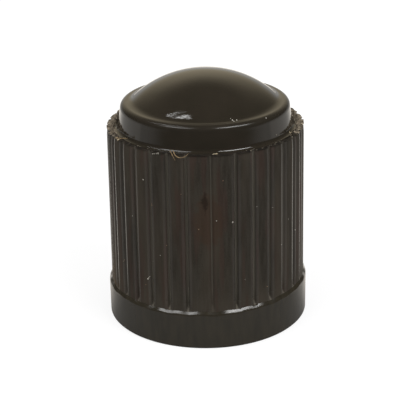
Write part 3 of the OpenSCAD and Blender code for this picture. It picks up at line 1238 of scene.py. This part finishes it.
# Bright chips: stretched so far that they turned nearly white.
BRIGHT_FINISH = plain_finish("stretch_whitened_chips", "#a08c6c", "#cfc4a8", 0.45)
# Rubbed chips: thin flakes of the dark skin, greyed by wear and a little glossy.
RUBBED_FINISH = plain_finish("rubbed_chips", "#5f594e", "#98907f", 0.4)
# Dust: dry whitish grains, with no shine.
DUST_FINISH = plain_finish("white_dust", "#a8a296", "#d8d3c8", 0.8)
# Grit: tan and reddish grains of dried dirt.
GRIT_FINISH = plain_finish("tan_grit", "#6e4f40", "#8f7a5e", 0.8)
print("finishes:", [m.name for m in (CHIP_FINISH, BRIGHT_FINISH, RUBBED_FINISH, DUST_FINISH,
                                     GRIT_FINISH)])

# %% [markdown]
# Each set of grains starts as an object that holds only its carrier: points at the chosen
# places, or faces to scatter over. The tree turns it into grains, and the result is kept
# as a plain mesh, which rides on the cap's one body.


# %% Growing a set of grains
def grow(name, data, group, material, seed, smallest_mm, largest_mm, flatness, density=0.0):
    thing = bpy.data.objects.new(name, data)
    scene.collection.objects.link(thing)
    modifier = thing.modifiers.new(name, "NODES")
    modifier.node_group = group
    set_inputs(modifier, {
        "Density": density, "Seed": seed, "Smallest": smallest_mm * MM,
        "Largest": largest_mm * MM, "Flatness": flatness, "Material": material})
    bake(thing)
    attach(thing, "root")
    print(name, "has", len(thing.data.polygons), "faces")


def point_mesh(name, places):
    data = bpy.data.meshes.new(name)
    data.from_pydata(places, [], [])
    return data


print("inputs of a set of grains:", list(GRAINS))

# %% [markdown]
# The crumbs lie on the torn face at both sides and at the back. The faces that carry them
# are copied from the finished cap, and the tree scatters its points over that copy. The
# larger chips have places of their own, each given by its angle from the front and its
# distance from the axis in millimetres, or by chance within a stretch of the ledge.

# %% Crumbs and chips on the torn face
CRUMBS_PER_MM2 = 26
CRUMB_FREE_FRONT = 0.2
BRIGHT_CHIPS = [(-63.6, 5.0), (-61.6, 4.99), (-59.6, 5.0), (-62.2, 4.9), (5.5, 4.82),
                (4.5, 4.8), (6.4, 4.8), (69.0, 4.52), (68.0, 4.58), (69.6, 4.6), (84.0, 4.95)]
# Chips by chance: how many, the angles they lie between, and their distances.
LEDGE_STRETCHES = ((16, 24, 60, 4.62, 5.0), (10, -56, -22, 4.66, 5.0))


def torn_faces(thing):
    mesh = bmesh.new()
    mesh.from_mesh(thing.data)
    torn_index = [m.name for m in thing.data.materials].index("torn_plastic")
    unwanted = []
    for face in mesh.faces:
        middle = face.calc_center_median()
        front = front_share(math.atan2(middle.y, middle.x))
        if face.material_index != torn_index or front > CRUMB_FREE_FRONT:
            unwanted.append(face)
    bmesh.ops.delete(mesh, geom=unwanted, context="FACES")
    data = bpy.data.meshes.new("torn_faces")
    mesh.to_mesh(data)
    mesh.free()
    return data


grow("torn_crumbs", torn_faces(cap), scattered_grains, CHIP_FINISH, seed=3,
     smallest_mm=0.015, largest_mm=0.055, flatness=0.6, density=CRUMBS_PER_MM2 / MM ** 2)
bright_places = [on_top(*chip) for chip in BRIGHT_CHIPS]
grow("bright_chips", point_mesh("bright_chips", bright_places), placed_grains,
     BRIGHT_FINISH, seed=8, smallest_mm=0.03, largest_mm=0.062, flatness=0.6)
luck = random.Random(12)
ledge_places = [on_top(luck.uniform(start, end), luck.uniform(inner, outer))
                for count, start, end, inner, outer in LEDGE_STRETCHES
                for i in range(count)]
ledge_places += [on_side(52.0, 10.5), on_side(55.0, 10.42)]
grow("ledge_chips", point_mesh("ledge_chips", ledge_places), placed_grains,
     RUBBED_FINISH, seed=5, smallest_mm=0.014, largest_mm=0.034, flatness=0.7)

# %% [markdown]
# Grains on the ribs, each given by its angle from the front and its height in millimetres,
# and on the dome, by angle and distance from the axis. The whitish ones are dust and the
# tan ones are grit.

# %% Grains on the ribs and the dome
BRIGHT_DUST_AT = [(-37.4, 8.75), (14.5, 6.79)]
DUST_AT = [(62.7, 5.22), (5.4, 6.93), (-36.2, 3.43), (-35.7, 3.5), (-35.1, 3.58),
           (-30.6, 10.2), (-29.6, 10.22), (-28.4, 10.25), (-27.2, 10.27)]
DOME_DUST_AT = [(19.6, 3.7), (20.3, 3.8), (21.0, 3.9), (23.6, 3.84), (45.0, 4.22)]
FAINT_DUST_AT = [(-33.6, 4.37), (40.4, 7.1), (29.3, 7.38), (-43.8, 2.49), (47.5, 4.9),
                 (-27.4, 4.9), (21.5, 3.6), (54.0, 6.1), (-47.0, 6.6)]
GRIT_AT = [(9.2, 9.0), (-23.7, 5.47), (-37.9, 3.07), (-33.5, 3.17), (-57.6, 3.8),
           (-57.0, 3.88), (-56.2, 3.95), (49.5, 2.66), (-32.1, 7.5), (-32.1, 7.58),
           (-22.9, 7.76), (-33.4, 6.19), (-4.5, 6.5), (-55.2, 3.7), (36.0, 2.9),
           (-14.0, 8.3)]
# Name, places on the ribs and on the dome, seed, smallest and largest radius in
# millimetres, finish.
GRAIN_SETS = (("bright_dust", BRIGHT_DUST_AT, (), 3, 0.044, 0.048, DUST_FINISH),
              ("dust", DUST_AT, DOME_DUST_AT, 2, 0.028, 0.04, DUST_FINISH),
              ("faint_dust", FAINT_DUST_AT, (), 4, 0.014, 0.022, DUST_FINISH),
              ("grit", GRIT_AT, (), 6, 0.022, 0.034, GRIT_FINISH))
for name, rib_places, dome_places, seed, smallest, largest, finish in GRAIN_SETS:
    found = [on_side(*place) for place in rib_places]
    found += [on_top(*place) for place in dome_places]
    grow(name, point_mesh(name, found), placed_grains, finish, seed, smallest, largest, 0.7)

# %% [markdown]
# When the skin was torn off, a few threads of plastic were drawn out and curled up. Each
# is a thin tube along a smooth line through a few places, given as angle, radius and
# height. Both ends are closed, so that every thread is a solid of its own.

# %% Fibres
FIBRE_RADIUS = 0.017 * MM
FIBRE_SIDES = 6
# A direction that no fibre runs along, from which a tube's own directions are found.
OFF_LINE = Vector((0.3, 0.2, 0.93))
FIBRES = [
    [(-21.5, 4.66, 10.39), (-20.2, 4.92, 10.41), (-18.9, 5.07, 10.38), (-17.6, 5.13, 10.22),
     (-16.7, 5.12, 10.05)],
    [(-19.6, 4.7, 10.4), (-18.2, 4.95, 10.42), (-16.4, 5.12, 10.3), (-14.1, 5.15, 10.22),
     (-11.3, 5.13, 10.28), (-9.5, 4.98, 10.4)],
    [(-61.5, 5.04, 10.38), (-59.2, 4.98, 10.4), (-57.3, 4.82, 10.41), (-55.6, 4.66, 10.42)],
]


def smooth_line(knots, steps=8):
    ends = [knots[0] * 2 - knots[1], *knots, knots[-1] * 2 - knots[-2]]
    points = []
    for a, b, c, d in zip(ends, ends[1:], ends[2:], ends[3:]):
        for k in range(steps):
            t = k / steps
            points.append(0.5 * (2 * b + (c - a) * t + (2 * a - 5 * b + 4 * c - d) * t * t
                                 + (3 * b - a - 3 * c + d) * t ** 3))
    return [*points, knots[-1]]


def add_tube(mesh, points):
    rows = []
    last = len(points) - 1
    for i, point in enumerate(points):
        ahead = (points[min(i + 1, last)] - points[max(i - 1, 0)]).normalized()
        across = ahead.cross(OFF_LINE).normalized()
        up = across.cross(ahead)
        thin = FIBRE_RADIUS * (1 - 0.5 * (i / last) ** 3)
        rows.append([mesh.verts.new(point + thin * (math.cos(a) * across + math.sin(a) * up))
                     for a in (2 * math.pi * k / FIBRE_SIDES for k in range(FIBRE_SIDES))])
    for upper, lower in zip(rows, rows[1:]):
        join_rows(mesh, upper, lower)
    mesh.faces.new(rows[0])
    mesh.faces.new(rows[-1])


mesh = bmesh.new()
for fibre in FIBRES:
    add_tube(mesh, smooth_line([outward(a) * r * MM + Vector((0, 0, z * MM))
                                for a, r, z in fibre]))
bmesh.ops.recalc_face_normals(mesh, faces=mesh.faces)
for face in mesh.faces:
    face.smooth = len(face.verts) == 4
fibre_data = bpy.data.meshes.new("torn_fibres")
mesh.to_mesh(fibre_data)
mesh.free()
fibres = bpy.data.objects.new("torn_fibres", fibre_data)
scene.collection.objects.link(fibres)
# Golden fibre: plastic drawn so thin that light shines through it and turns it golden.
fibre_data.materials.append(plain_finish("golden_fibre", "#7c6546", "#ab9068", 0.4))
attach(fibres, "root")
print("fibres:", len(FIBRES), "with", len(fibre_data.polygons), "faces")
